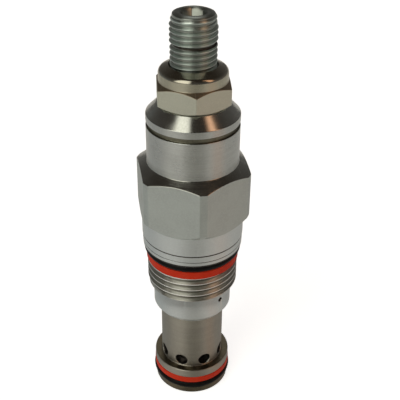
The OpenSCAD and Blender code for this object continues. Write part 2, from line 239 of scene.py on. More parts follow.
CREST_FLAT = 0.125
ROOT_FLAT = 0.25
FLANK_ANGLE = radians(30)
# Rounding of a thread's edges, in the units of thread_rows().
SHARP_THREAD = 0.045
PLATED_THREAD = 0.06
WORN_THREAD = 0.12


def thread_depth(pitch):
    return pitch * (1 - CREST_FLAT - ROOT_FLAT) / 2 / tan(FLANK_ANGLE)


def thread_rows(rounding):
    """One pitch of a 60 degree thread as (depth share, phase) points, root to root."""
    root_edge = ROOT_FLAT / 2
    crest_edge = 0.5 - CREST_FLAT / 2
    sharp = [(0, 0), (0, root_edge), (1, crest_edge), (1, 1 - crest_edge), (0, 1 - root_edge), (0, 1)]
    return soften(sharp, rounding, closed=False)[:-1]


def interpolate(rows, phase):
    """Depth share of the thread at a phase from 0 to 1."""
    for a, b in zip(rows, rows[1:] + [(0, 1)]):
        if a[1] <= phase <= b[1]:
            width = b[1] - a[1]
            return lerp(a[0], b[0], (phase - a[1]) / width) if width > TINY else b[0]
    return 0


class Thread:
    """A right-hand thread: crest and pitch, where its helix stands, and how its ends are turned down."""

    def __init__(self, crest_r, pitch, crest_z, crest_angle, rounding, envelope=None):
        self.crest_r = crest_r
        self.root_r = crest_r - thread_depth(pitch)
        self.pitch = pitch
        self.rows = thread_rows(rounding)
        self.crest_z = crest_z
        self.crest_angle = crest_angle
        self.envelope = envelope or (lambda z: crest_r)

    def radius(self, z, angle):
        along = (z - self.crest_z) / self.pitch - (angle - self.crest_angle) / (2 * pi)
        share = interpolate(self.rows, (along + 0.5) % 1.0)
        return min(lerp(self.root_r, self.crest_r, share), self.envelope(z))

    def add(self, bm, low, high):
        # Rows start on the thread's own root, whatever the height that the skin starts at.
        offset = ((low - self.crest_z) / self.pitch + self.crest_angle / (2 * pi) + 0.5) % 1.0
        phases = sorted((phase - offset) % 1.0 for _, phase in self.rows)
        add_thread(bm, self.radius, phases, self.pitch, low, high)


# -------- shader tools

# A Mix node's sockets for colours. Its sockets for other kinds have the same names.
MIX_FACTOR, MIX_A, MIX_B = 0, 6, 7
MIX_RESULT = 2


def new_material(name):
    material = bpy.data.materials.new(name)
    material.use_nodes = True
    tree = material.node_tree
    return material, tree, tree.nodes["Principled BSDF"]


def feed(tree, socket, value):
    """Sets an input to a number, a colour or another node's output."""
    if isinstance(value, (int, float)):
        socket.default_value = value
    elif isinstance(value, tuple):
        socket.default_value = (*value, 1)
    else:
        tree.links.new(value, socket)


def dress(tree, node, **inputs):
    """Sets a node up. Keys are input names with _ for a space, or attributes of the node."""
    for key, value in inputs.items():
        if hasattr(node, key):
            setattr(node, key, value)
        else:
            feed(tree, node.inputs[key.replace("_", " ")], value)
    return node


def put(tree, kind, **inputs):
    return dress(tree, tree.nodes.new("ShaderNode" + kind), **inputs)


def compute(tree, operation, *values):
    node = put(tree, "Math", operation=operation)
    for socket, value in zip(node.inputs, values):
        feed(tree, socket, value)
    return node.outputs[0]


def mix_colour(tree, factor, a, b, blend="MIX"):
    node = put(tree, "Mix", data_type="RGBA", blend_type=blend)
    for index, value in ((MIX_FACTOR, factor), (MIX_A, a), (MIX_B, b)):
        feed(tree, node.inputs[index], value)
    return node.outputs[MIX_RESULT]


def ramp(tree, value, low, high, out_low=0.0, out_high=1.0):
    return put(tree, "MapRange", Value=value, From_Min=low, From_Max=high,
               To_Min=out_low, To_Max=out_high).outputs[0]


def noise(tree, vector, scale, detail, roughness=0.5):
    return put(tree, "TexNoise", Vector=vector, Scale=scale, Detail=detail,
               Roughness=roughness).outputs["Fac"]


def split(tree, vector):
    return put(tree, "SeparateXYZ", Vector=vector).outputs


def place(tree):
    """Object coordinates, their parts, and the distance from the valve's axis."""
    where = put(tree, "TexCoord").outputs["Object"]
    x, y, z = split(tree, where)
    squares = compute(tree, "ADD", compute(tree, "MULTIPLY", x, x), compute(tree, "MULTIPLY", y, y))
    return where, (x, y, z), compute(tree, "SQRT", squares)


# How far along the axis a step outwards counts, so that marks run round a flat face too.
FACE_SLANT = 1.37


def lathe_vector(tree, parts, axis_gap, around, across):
    """Coordinates that change fast across a turning tool's marks and slowly around the axis."""
    x, y, z = parts
    along = compute(tree, "ADD", z, compute(tree, "MULTIPLY", axis_gap, FACE_SLANT))
    scaled = {key: compute(tree, "MULTIPLY", value, scale)
              for key, value, scale in (("X", x, around), ("Y", y, around), ("Z", along, across))}
    return put(tree, "CombineXYZ", **scaled).outputs[0]


def bump(tree, noise_a, height_a, noise_b, height_b):
    """Bumped normals from two noises, each with its height in mm."""
    height = compute(tree, "ADD", compute(tree, "MULTIPLY", noise_a, height_a),
                     compute(tree, "MULTIPLY", noise_b, height_b))
    return put(tree, "Bump", Strength=1.0, Distance=MM, Height=height).outputs[0]


def tone(colour, gain, lift=0.0):
    """A colour made lighter or darker."""
    return tuple(min(1.0, c * gain + lift) for c in colour)


# -------- metals

# Noises: scale per metre, detail, roughness. The lathe's scales are around and across its marks.
BLOTCH = (260.0, 4.0)
FINE = (2600.0, 3.0)
PATCH = (95.0, 3.0, 0.55)
STREAK_SCALES = (60.0, 4200.0)
STREAK = (1.0, 4.0, 0.65)
BAND_SCALES = (25.0, 900.0)
BAND = (1.0, 2.0, 0.5)
# Values of a noise or of the pointiness between which a look changes, and for some its strengths.
BLOTCH_FADE = (0.35, 0.65)
FINE_FADE = (0.42, 0.72, 0.0, 0.6)
STREAK_FADE = (0.40, 0.62)
BAND_FADE = (0.35, 0.65)
PATCH_FADE = (0.62, 0.72)
EDGE_FADE = (0.52, 0.58, 0.0, 0.7)
CORNER_FADE = (0.47, 0.42, 0.0, 0.5)
BLOTCH_GLOSS = (0.3, 0.7, -0.04, 0.05)
STREAK_GLOSS = (0.3, 0.7, -0.03, 0.04)
BAND_SHARE = 0.5
LIGHT_GAIN = 1.07
BRIGHT_EDGE = (1.25, 0.05)
# Colour of tool marks and patches, and of painted shade in corners and grooves.
DIRT_AND_SHADE_TONE = (0.10, 0.09, 0.07)
# A quarter turn from the tangent spreads the gloss across the turning marks, along the axis.
QUARTER_TURN = 0.25


def metal(name, colour, roughness, marks=0.0, grain=0.0, anisotropic=0.0, stain=0.12, lines=0.0,
          groove=None, dirt_and_shade=DIRT_AND_SHADE_TONE, smudge=0.0):
    """Metal with tool marks, plated or blasted grain, uneven gloss, brighter edges and painted shade in
    corners.

    marks and grain are bump heights in mm, stain and smudge are how strong the blotches and
    patches are, lines is how much the tool marks change the colour, and groove gives two radii
    in mm between which the colour darkens to painted shade. The colour given for the tool marks
    and patches is also the painted shade in corners and grooves.
    """
    material, tree, shader = new_material(name)
    where, parts, axis_gap = place(tree)
    blotch = noise(tree, where, *BLOTCH)
    fine = noise(tree, where, *FINE)
    streak = noise(tree, lathe_vector(tree, parts, axis_gap, *STREAK_SCALES), *STREAK)
    band = noise(tree, lathe_vector(tree, parts, axis_gap, *BAND_SCALES), *BAND)
    base = mix_colour(tree, ramp(tree, blotch, *BLOTCH_FADE), tone(colour, 1 - stain), colour)
    base = mix_colour(tree, ramp(tree, fine, *FINE_FADE), base, tone(colour, LIGHT_GAIN))
    if lines:
        base = mix_colour(tree, ramp(tree, streak, *STREAK_FADE, lines, 0.0), base, dirt_and_shade)
        base = mix_colour(tree, ramp(tree, band, *BAND_FADE, lines * BAND_SHARE, 0.0), base, dirt_and_shade)
    if smudge:
        patch = noise(tree, where, *PATCH)
        base = mix_colour(tree, ramp(tree, patch, *PATCH_FADE, 0.0, smudge), base, dirt_and_shade)
    pointed = put(tree, "NewGeometry").outputs["Pointiness"]
    base = mix_colour(tree, ramp(tree, pointed, *EDGE_FADE), base, tone(colour, *BRIGHT_EDGE))
    # Painted shade in corners, where the pointiness is low.
    base = mix_colour(tree, ramp(tree, pointed, *CORNER_FADE), base, dirt_and_shade)
    # Painted shade between the groove's radii, such as a thread's roots.
    if groove:
        low, high = groove
        base = mix_colour(tree, ramp(tree, axis_gap, high * MM, low * MM), base, dirt_and_shade)
    gloss = compute(tree, "ADD", ramp(tree, blotch, *BLOTCH_GLOSS), roughness)
    gloss = compute(tree, "ADD", gloss, ramp(tree, streak, *STREAK_GLOSS))
    dress(tree, shader, Base_Color=base, Metallic=1.0, Roughness=gloss,
          Normal=bump(tree, streak, marks, fine, grain))
    if anisotropic:
        tangent = put(tree, "Tangent", direction_type="RADIAL", axis="Z").outputs[0]
        dress(tree, shader, Anisotropic=anisotropic, Anisotropic_Rotation=QUARTER_TURN, Tangent=tangent)
    return material


ZINC_TURNED = metal("zinc_turned", (0.60, 0.625, 0.60), 0.30, marks=0.003, anisotropic=0.70, lines=0.08)
ZINC_MATT = metal("zinc_matt", (0.56, 0.605, 0.58), 0.50, grain=0.010, stain=0.10, smudge=0.40,
                  dirt_and_shade=(0.30, 0.29, 0.20))
ZINC_BODY = metal("zinc_body", (0.69, 0.735, 0.73), 0.42, marks=0.002, grain=0.003, stain=0.05)
CUT_ZINC = metal("cut_zinc", (0.50, 0.51, 0.47), 0.19, marks=0.002, anisotropic=0.5, stain=0.15,
                 lines=0.05)
SHADED_ZINC = metal("shaded_zinc", (0.21, 0.205, 0.155), 0.34, marks=0.003, stain=0.3)
# Painted shade for grooves, reliefs and the seams between parts.
RECESS_SHADE = metal("recess_shade", (0.07, 0.065, 0.06), 0.55, grain=0.004, stain=0.3)
# Painted highlight for thread crests.
THREAD_CREST_HIGHLIGHT = metal("thread_crest_highlight", (0.86, 0.87, 0.84), 0.45, marks=0.002, stain=0.05)
# Its thread roots are darkened as painted shade.
THREAD_STEEL = metal("thread_steel", (0.58, 0.58, 0.53), 0.32, marks=0.003, anisotropic=0.8,
                     groove=(9.12, 9.40), dirt_and_shade=(0.20, 0.19, 0.16))
NUT_STEEL = metal("nut_steel", (0.60, 0.61, 0.51), 0.40, grain=0.006, stain=0.08, smudge=0.2)
# Painted shade for the nut's upper chamfer.
NUT_CHAMFER_SHADE = metal("nut_chamfer_shade", (0.36, 0.30, 0.22), 0.38, marks=0.002, stain=0.25)
NUT_COLLAR = metal("nut_collar", (0.53, 0.51, 0.40), 0.28, marks=0.003, anisotropic=0.5)
# Polished, and darker than the collar as painted shade.
NUT_POLISH_AND_SHADE = metal("nut_polish_and_shade", (0.40, 0.38, 0.31), 0.13, marks=0.001, stain=0.2)
# Its thread roots are darkened as painted shade.
SCREW_STEEL = metal("screw_steel", (0.60, 0.68, 0.63), 0.34, marks=0.002, anisotropic=0.7,
                    groove=(4.05, 4.45), dirt_and_shade=(0.30, 0.32, 0.29))
SLEEVE_STEEL = metal("sleeve_steel", (0.42, 0.40, 0.345), 0.42, marks=0.002, anisotropic=0.6, lines=0.10)
SLEEVE_SHADE = metal("sleeve_shade", (0.17, 0.145, 0.10), 0.36, marks=0.002, stain=0.3)
# Painted shade for hole walls and for what is seen deep inside the holes.
STEEL_IN_SHADE = metal("steel_in_shade", (0.12, 0.11, 0.10), 0.30, marks=0.004, anisotropic=0.5, lines=0.10)
GROUND_STEEL = metal("ground_steel", (0.50, 0.49, 0.46), 0.30, marks=0.004, anisotropic=0.7, lines=0.10)
SPRING_STEEL = metal("spring_steel", (0.30, 0.31, 0.33), 0.34, grain=0.006)
STAINLESS = metal("stainless", (0.62, 0.61, 0.58), 0.28, grain=0.004)


# -------- rubber and plastic

MOULD_PATCH = (420.0, 4.0)
MOULD_FINE = (3200.0, 2.0)
MOULD_STREAK_SCALES = (200.0, 5200.0)
MOULD_STREAK = (1.0, 3.0)
MOULD_PATCH_FADE = (0.4, 0.75, 0.0, 0.8)
MOULD_STREAK_FADE = (0.55, 0.8, 0.0, 0.4)
MOULD_LIGHTER = (1.3, 0.01)
MOULD_GLOSS_FADE = (0.3, 0.7)
MOULD_GLOSS = (-0.06, 0.08)
MOULD_STREAK_HEIGHT = 0.8


def elastomer(name, colour, roughness, grain, specular=0.5, sheen_colour=None):
    """Moulded rubber or plastic: faint moulding grain, uneven gloss, and dust in a thin film."""
    material, tree, shader = new_material(name)
    where, parts, axis_gap = place(tree)
    patch = noise(tree, where, *MOULD_PATCH)
    fine = noise(tree, where, *MOULD_FINE)
    streak = noise(tree, lathe_vector(tree, parts, axis_gap, *MOULD_STREAK_SCALES), *MOULD_STREAK)
    lighter = sheen_colour or tone(colour, *MOULD_LIGHTER)
    base = mix_colour(tree, ramp(tree, patch, *MOULD_PATCH_FADE), colour, lighter)
    base = mix_colour(tree, ramp(tree, streak, *MOULD_STREAK_FADE), base, lighter)
    smooth, rough = (roughness + change for change in MOULD_GLOSS)
    dress(tree, shader, Base_Color=base, Specular_IOR_Level=specular,
          Roughness=ramp(tree, patch, *MOULD_GLOSS_FADE, smooth, rough),
          Normal=bump(tree, fine, grain, streak, grain * MOULD_STREAK_HEIGHT))
    return material


RUBBER = elastomer("rubber", (0.005, 0.005, 0.005), 0.34, 0.006, specular=0.08,
                   sheen_colour=(0.012, 0.012, 0.011))
URETHANE = elastomer("urethane", (0.66, 0.035, 0.009), 0.50, 0.006, specular=0.12,
                     sheen_colour=(0.72, 0.06, 0.025))
NYLON = elastomer("nylon", (0.06, 0.075, 0.068), 0.45, 0.008)


# -------- hexagons

HEX_SECTOR = pi / 3
HEX_CHAMFER = tan(radians(30))
SMOOTHING = 0.018
# Columns in degrees beside a flat's edge, how many cross a flat, and the gap between the two.
EDGE_COLUMNS = (-1.2, -0.7, -0.35, -0.12, 0.12, 0.35, 0.7, 1.2)
FLAT_COLUMNS = 24
EDGE_GAP = radians(1.5)


def hex_radius(angle, apothem, corner_r, turn):
    """Distance from the axis to a hexagon with turned corners, whose edges are slightly rounded."""
    off_centre = (angle - turn + HEX_SECTOR / 2) % HEX_SECTOR - HEX_SECTOR / 2
    flat = apothem / cos(off_centre)
    nearest = min(flat, corner_r)
    spread = exp((nearest - flat) / SMOOTHING) + exp((nearest - corner_r) / SMOOTHING)
    return nearest - SMOOTHING * log(spread)


def hex_angles(apothem, corner_r, turn):
    """Column angles, close together where a flat meets a turned corner."""
    edge = acos(apothem / corner_r)
    close = [radians(a) for a in EDGE_COLUMNS]
    across = [lerp(-edge, edge, i / FLAT_COLUMNS) for i in range(1, FLAT_COLUMNS)]
    marks = sorted(
        [edge + c for c in close]
        + [-edge + c for c in close]
        + [a for a in across if abs(abs(a) - edge) > EDGE_GAP]
        + [HEX_SECTOR / 2]
    )
    marks = [a for a in marks if -HEX_SECTOR / 2 < a <= HEX_SECTOR / 2 + TINY]
    return [turn + side * HEX_SECTOR + a for side in range(6) for a in marks]


def hex_piece(name, outline_for, apothem, corner_r, turn, radius, body, material, node):
    """outline_for(hex_r) gives the closed outline where the hexagon stands hex_r from the axis."""
    bm = bmesh.new()
    angles = hex_angles(apothem, corner_r, turn)
    add_sweep(bm, lambda a: soften(outline_for(hex_radius(a, apothem, corner_r, turn)), radius), angles)
    return finish_mesh(bm, name, body, material, node)


# -------- bonnet

FLANGE_R = 10.9
HEX_BOTTOM = 7.2
HEX_TOP = 20.15
HEX_CUT = 2.5
ROUND_R = 9.55
# The groove's bottom, top and depth, and how much of its height each wall takes.
GROOVE = (28.3, 29.35, 0.45)
GROOVE_WALL = 0.1
BONNET_CHAMFER_Z = 30.8
NUT_FACE_R = 7.3
JOINT_BORE_R = 8.05
CARRIER_BORE_R = 6.35
JOINT_BORE_TOP = 10.9
CARRIER_BORE_TOP = 25.0
SCREW_HOLE_R = 4.72
HOLE_CHAMFER = 0.5
EDGE = 0.15
BONNET_ROUNDING = 0.10


def make_bonnet():
    size = Extent("bonnet")
    groove_low, groove_high, groove_depth = GROOVE
    groove_r = ROUND_R - groove_depth

    def outline(hex_r):
        return [
            (JOINT_BORE_R, size.bottom), (FLANGE_R - EDGE, size.bottom), (FLANGE_R, size.bottom + EDGE),
            (FLANGE_R, HEX_BOTTOM), (hex_r, HEX_BOTTOM + hex_r - FLANGE_R),
            (hex_r, HEX_TOP - (hex_r - ROUND_R) * HEX_CHAMFER), (ROUND_R, HEX_TOP), (ROUND_R, groove_low),
            (groove_r, groove_low + GROOVE_WALL), (groove_r, groove_high - GROOVE_WALL),
            (ROUND_R, groove_high), (ROUND_R, BONNET_CHAMFER_Z), (NUT_FACE_R, size.top),
            (SCREW_HOLE_R + HOLE_CHAMFER, size.top), (SCREW_HOLE_R, size.top - HOLE_CHAMFER),
            (SCREW_HOLE_R, CARRIER_BORE_TOP), (CARRIER_BORE_R, CARRIER_BORE_TOP),
            (CARRIER_BORE_R, JOINT_BORE_TOP), (JOINT_BORE_R, JOINT_BORE_TOP),
        ]

    piece = hex_piece("bonnet_shell", outline, size.rx, size.ry, 0.0, BONNET_ROUNDING, "housing",
                      ZINC_TURNED, "bonnet")
    outside = (FLANGE_R - INSIDE, FAR)
    paint(piece, ZINC_MATT, (outside, (HEX_BOTTOM + NEAR, HEX_TOP + 2 * NEAR)))
    paint(piece, ZINC_BODY, (outside, (-FAR, HEX_BOTTOM + NEAR)))
    paint(piece, SHADED_ZINC, ((groove_r - 2 * NEAR, ROUND_R - 3 * HAIR), (groove_low, groove_high)))
    # Painted shade in the seam at the flange's lower edge.
    paint(piece, RECESS_SHADE, ((FLANGE_R - EDGE, FLANGE_R), (-FAR, size.bottom + EDGE)))
    paint(piece, CUT_ZINC, (ANY, (BONNET_CHAMFER_Z, FAR), SLOPING),
          (ANY, (HEX_TOP - HEX_CUT, HEX_TOP + NEAR), SLOPING))


# -------- lock nut

NUT_TURN = radians(-6.2)
NUT_APOTHEM = 7.144
NUT_CORNER_R = 8.22
NUT_FOOT_R = 7.0
NUT_SHOULDER = 3.88
NUT_ROUNDING = 0.08
COLLAR_R = 6.90
COLLAR_FOOT = 0.02
# The CAD's collar is rounded less, by 0.85.
COLLAR_ROUND = 1.1
COLLAR_STEPS = 6
COLLAR_SLOPE = radians(26)
# Height above the centre of the collar's rounding from which the collar is polished and painted darker as
# shade.
COLLAR_POLISH = 0.25
NUT_MOUTH_R = 4.85
# The insert's pocket: radius, and its floor and ceiling below the nut's top.
INSERT_POCKET = (5.92, 2.68, 1.14)


def make_lock_nut():
    size = Extent("lock_nut")
    shoulder = size.bottom + NUT_SHOULDER
    chamfer_top = shoulder + (NUT_CORNER_R - COLLAR_R) * HEX_CHAMFER
    pocket_r, pocket_low, pocket_high = INSERT_POCKET
    arc_r = COLLAR_R - COLLAR_ROUND
    cone_r = arc_r + COLLAR_ROUND * sin(COLLAR_SLOPE)
    cone_z = size.top - (cone_r - NUT_MOUTH_R) * tan(COLLAR_SLOPE)
    arc_z = cone_z - COLLAR_ROUND * cos(COLLAR_SLOPE)
    arc_angles = [(pi / 2 - COLLAR_SLOPE) * i / COLLAR_STEPS for i in range(COLLAR_STEPS + 1)]
    collar_arc = [(arc_r + COLLAR_ROUND * cos(a), arc_z + COLLAR_ROUND * sin(a))
                  for a in arc_angles]

    def outline(hex_r):
        return [
            (SCREW_HOLE_R + HOLE_CHAMFER, size.bottom), (NUT_FOOT_R, size.bottom),
            (hex_r, size.bottom + (hex_r - NUT_FOOT_R) * HEX_CHAMFER),
            (hex_r, shoulder + (NUT_CORNER_R - hex_r) * HEX_CHAMFER),
            (COLLAR_R + COLLAR_FOOT, chamfer_top), *collar_arc, (NUT_MOUTH_R, size.top),
            (NUT_MOUTH_R, size.top - pocket_high), (pocket_r, size.top - pocket_high),
            (pocket_r, size.top - pocket_low), (SCREW_HOLE_R, size.top - pocket_low),
            (SCREW_HOLE_R, size.bottom + HOLE_CHAMFER),
        ]

    piece = hex_piece("lock_nut_shell", outline, NUT_APOTHEM, NUT_CORNER_R, NUT_TURN, NUT_ROUNDING,
                      "nut", NUT_STEEL, "lock_nut")
    paint(piece, NUT_COLLAR, (ANY, (chamfer_top - HAIR, FAR)), ((-FAR, NUT_FOOT_R - INSIDE), ANY))
    # The collar's polished top, its colour darkened as painted shade.
    paint(piece, NUT_POLISH_AND_SHADE, (ANY, (arc_z + COLLAR_POLISH, FAR)))
    # Painted shade on the chamfer above the flats.
    paint(piece, NUT_CHAMFER_SHADE, (ANY, (shoulder - 2 * HAIR, chamfer_top + 2 * HAIR), SLOPING))


# -------- adjusting screw

SCREW_PITCH = 25.4 / 24
SCREW_CREST_R = 4.67
SCREW_LOWER_CREST_R = 4.60
SCREW_FRONT = radians(-100)
# Crests beside the relief: how far below and above it they stand.
LOWER_CREST_DROP = 0.4
UPPER_CREST_RISE = 0.45
# The head's radius and height, its lower and upper bevels, and the clear shank above it.
SCREW_HEAD = (5.6, 1.5)
HEAD_LOWER_BEVEL = 0.2
HEAD_UPPER_BEVEL = 0.1
SHANK_HEIGHT = 0.2
SHANK_DEPTH = 0.1
SCREW_RELIEF = (44.88, 45.38)
RELIEF_DEPTH = 0.05
RELIEF_SHOWN_R = 3.5
# The tip's cone as radii with their drops below the top, and the drop where the thread is full.
SCREW_TIP = (4.05, 0.3, 4.42, 0.9, 1.9)
SCREW_RIM_R = 3.35
# Small bevels at the rim and the socket's mouth: outwards, inwards and down.
RIM_BEVEL = (0.05, 0.04, 0.02)
MOUTH_BEVEL = (0.06, 0.04, 0.05)
SOCKET_APOTHEM = 3.969 / 2
SOCKET_DEPTH = 4.5
MOUTH_R = 2.75
# The socket's drilled floor: share of the socket's radius, and drops to its edge and centre.
SOCKET_FLOOR = (0.5, 0.1, 0.7)


def socket_r(angle):
    off_centre = (angle + HEX_SECTOR / 2) % HEX_SECTOR - HEX_SECTOR / 2
    return SOCKET_APOTHEM / cos(off_centre)


def make_adjust_screw():
    size = Extent("adjust_screw")
    relief_low, relief_high = SCREW_RELIEF
    tip_high_r, tip_high_drop, tip_r, tip_drop, full_drop = SCREW_TIP

    def tip_envelope(z):
        drop = size.top - z
        if drop < tip_drop:
            return lerp(tip_high_r, tip_r, (drop - tip_high_drop) / (tip_drop - tip_high_drop))
        return min(SCREW_CREST_R, tip_r + max(0.0, drop - full_drop))

    lower = Thread(SCREW_LOWER_CREST_R, SCREW_PITCH, relief_low - LOWER_CREST_DROP, SCREW_FRONT,
                   SHARP_THREAD)
    upper = Thread(SCREW_CREST_R, SCREW_PITCH, relief_high + UPPER_CREST_RISE, SCREW_FRONT,
                   WORN_THREAD, tip_envelope)
    head_r, head_height = SCREW_HEAD
    head_top = size.bottom + head_height
    lower_end = head_top + SHANK_HEIGHT
    upper_end = size.top - tip_high_drop
    shank_r = lower.root_r - SHANK_DEPTH
    relief_r = lower.root_r - RELIEF_DEPTH

    def below(angle):
        return [
            (0, size.bottom), (head_r - HEAD_LOWER_BEVEL, size.bottom),
            (head_r, size.bottom + HEAD_LOWER_BEVEL), (head_r, head_top - HEAD_UPPER_BEVEL),
            (head_r - HEAD_UPPER_BEVEL, head_top), (shank_r, head_top), (shank_r, lower_end),
            (lower.radius(lower_end, angle), lower_end),
        ]

    def between(angle):
        return [
            (lower.radius(relief_low, angle), relief_low), (relief_r, relief_low),
            (relief_r, relief_high), (upper.radius(relief_high, angle), relief_high),
        ]

    def above(angle):
        rim_out, rim_in, rim_down = RIM_BEVEL
        mouth_out, mouth_in, mouth_down = MOUTH_BEVEL
        floor_share, floor_edge, floor_centre = SOCKET_FLOOR
        mouth_gap = MOUTH_R - socket_r(angle)
        floor = size.top - SOCKET_DEPTH
        return [
            (upper.radius(upper_end, angle), upper_end), (tip_high_r - rim_down, upper_end + rim_down),
            (SCREW_RIM_R + rim_out, size.top - rim_down), (SCREW_RIM_R - rim_in, size.top),
            (MOUTH_R + mouth_out, size.top), (MOUTH_R - mouth_in, size.top - mouth_down),
            (socket_r(angle), size.top - mouth_gap), (socket_r(angle), floor),
            (socket_r(angle) * floor_share, floor - floor_edge), (0, floor - floor_centre),
        ]

    bm = bmesh.new()
    lower.add(bm, lower_end, relief_low)
    upper.add(bm, relief_high, upper_end)
    for part in (below, between, above):
        add_sweep(bm, part, even_angles(), closed=False)
    piece = finish_mesh(bm, "adjust_screw_shell", "screw", SCREW_STEEL, "adjust_screw")
    # Painted shadow in the relief between the screw's two threads.
    paint(piece, RECESS_SHADE, ((RELIEF_SHOWN_R, FAR), (relief_low - HAIR, relief_high + HAIR)))


# -------- threaded body

THREAD_R = 9.93
THREAD_PITCH = 1.5
THREAD_FRONT = radians(-100)
THREAD_FRONT_CREST = -5.26
THREAD_LOW = -10.36
# The thread's lower end is turned down: height above its root, slope, and step below.
LEAD_OUT = (0.1, 1.2, 0.18)
# Heights above the thread's lower end where its steel and the painted highlight on its crests start.
STEEL_START = 0.3
CREST_START = 0.8
# Depth under the crests that their painted highlight takes.
CREST_SKIN = 0.035
GLAND_R = 8.68
GLAND_LOW = -3.67
GLAND_RECESS = (10.60, 0.2)
SEAT_R = 10.70
SEAT_CHAMFER = 0.42
# A fine line turned round the locating ring: bottom, middle, top and depth.
RING_LINE = (1.12, 1.2, 1.32, 0.16)
RING_STEP = 0.05
JOINT_GAP = 0.02
# Radius, bottom and top.
JOINT_GROOVE = (6.98, 3.3, 4.7)
JOINT_SPIGOT_R = 8.0
JOINT_CHAMFER = 0.5
CHAMBER_R = 6.0
SEAT_STEP = -7.5
SHOULDER_HOLE_R = 4.6
SLEEVE_STOP = -9.5
SLEEVE_BORE_R = 6.75
NECK_BORE_R = 7.25
NECK_TOP = -15.8
WIRE_GROOVE = (7.3, -15.45, -14.35)
SPIGOT_R = 8.68
SPIGOT_CHAMFER = (0.93, 1.25)
BODY_ROUNDING = 0.09
DRAIN_ANGLE = radians(35.9 - 90)
DRAIN_Z = -12.31
DRAIN_R = 0.55
# The drain's wall lies between these depths under the spigot's surface.
DRAIN_SHALLOW = 0.1
DRAIN_DEEP = 1.3


def make_threaded_body():
    size = Extent("threaded_body")
    ring_r = size.rx
    joint_z = Extent("bonnet").bottom - JOINT_GAP
    line_low, line_middle, line_high, line_depth = RING_LINE
    groove_r, groove_low, groove_high = JOINT_GROOVE
    recess_r, recess_z = GLAND_RECESS
    wire_r, wire_low, wire_high = WIRE_GROOVE
    lead_height, lead_slope, step_height = LEAD_OUT
    chamfer_in, chamfer_up = SPIGOT_CHAMFER

    thread = Thread(THREAD_R, THREAD_PITCH, THREAD_FRONT_CREST, THREAD_FRONT, PLATED_THREAD)
    lead_r = thread.root_r + lead_height
    thread.envelope = lambda z: min(THREAD_R, lead_r + (z - THREAD_LOW) * lead_slope)
    outside_and_bore = [
        (GLAND_R, GLAND_LOW), (GLAND_R, recess_z), (recess_r, recess_z), (recess_r, 0.0), (SEAT_R, 0.0),
        (ring_r - RING_STEP, SEAT_CHAMFER), (ring_r - RING_STEP, line_low),
        (ring_r - line_depth, line_middle), (ring_r, line_high), (ring_r, joint_z - EDGE),
        (ring_r - EDGE, joint_z), (JOINT_SPIGOT_R, joint_z), (JOINT_SPIGOT_R, groove_low),
        (groove_r, groove_low), (groove_r, groove_high), (JOINT_SPIGOT_R, groove_high),
        (JOINT_SPIGOT_R, size.top - JOINT_CHAMFER),
        (JOINT_SPIGOT_R - JOINT_CHAMFER, size.top), (CHAMBER_R, size.top), (CHAMBER_R, SEAT_STEP),
        (SHOULDER_HOLE_R, SEAT_STEP), (SHOULDER_HOLE_R, SLEEVE_STOP), (SLEEVE_BORE_R, SLEEVE_STOP),
        (SLEEVE_BORE_R, wire_high), (wire_r, wire_high), (wire_r, wire_low), (SLEEVE_BORE_R, wire_low),
        (SLEEVE_BORE_R, NECK_TOP), (NECK_BORE_R, NECK_TOP), (NECK_BORE_R, size.bottom),
        (SPIGOT_R - chamfer_in, size.bottom), (SPIGOT_R, size.bottom + chamfer_up),
        (SPIGOT_R, THREAD_LOW - step_height),
    ]
    rounded = soften(outside_and_bore, BODY_ROUNDING, closed=False)

    def outline(angle):
        return [
            (thread.radius(GLAND_LOW, angle), GLAND_LOW),
            *rounded,
            (thread.radius(THREAD_LOW, angle), THREAD_LOW),
        ]

    bm = bmesh.new()
    thread.add(bm, THREAD_LOW, GLAND_LOW)
    add_sweep(bm, outline, even_angles(), closed=False)
    piece = finish_mesh(bm, "threaded_body_shell", "housing", ZINC_BODY, "threaded_body")
    paint(piece, THREAD_STEEL, ((GLAND_R, FAR), (THREAD_LOW + STEEL_START, GLAND_LOW + HAIR)))
    drill(piece, DRAIN_ANGLE, DRAIN_Z, DRAIN_R, SPIGOT_R)
    # Painted shade in the ring's turned line, in the seat's recess and chamfer, and in the joint under
    # the bonnet.
    paint(piece, RECESS_SHADE,
          ((ring_r - line_depth - HAIR, ring_r - 3 * HAIR), (line_low + 2 * HAIR, line_high - 2 * HAIR)),
          ((recess_r, FAR), (-2 * HAIR, SEAT_CHAMFER)),
          ((ring_r - EDGE, ring_r), (joint_z - EDGE, FAR)))
    # Painted highlight on the thread's crests.
    paint(piece, THREAD_CREST_HIGHLIGHT, ((THREAD_R - CREST_SKIN, FAR), (THREAD_LOW + CREST_START, GLAND_LOW)))
    # Painted shade on the drain hole's wall.
    wall_reach = DRAIN_R + 2 * NEAR
    paint(piece, STEEL_IN_SHADE, ((SPIGOT_R - DRAIN_DEEP, SPIGOT_R - DRAIN_SHALLOW),
                              (DRAIN_Z - wall_reach, DRAIN_Z + wall_reach)))


DRILL_SIDES = 40
DRILL_FLARE = 0.08
# Heights over the drilled surface of the drill's point, full width, flare and top.
DRILL_HEIGHTS = (-1.15, -0.75, 0.02, 1.0)
DRILL_CENTRE_R = 0.001
DRILL_MERGE = 1e-5


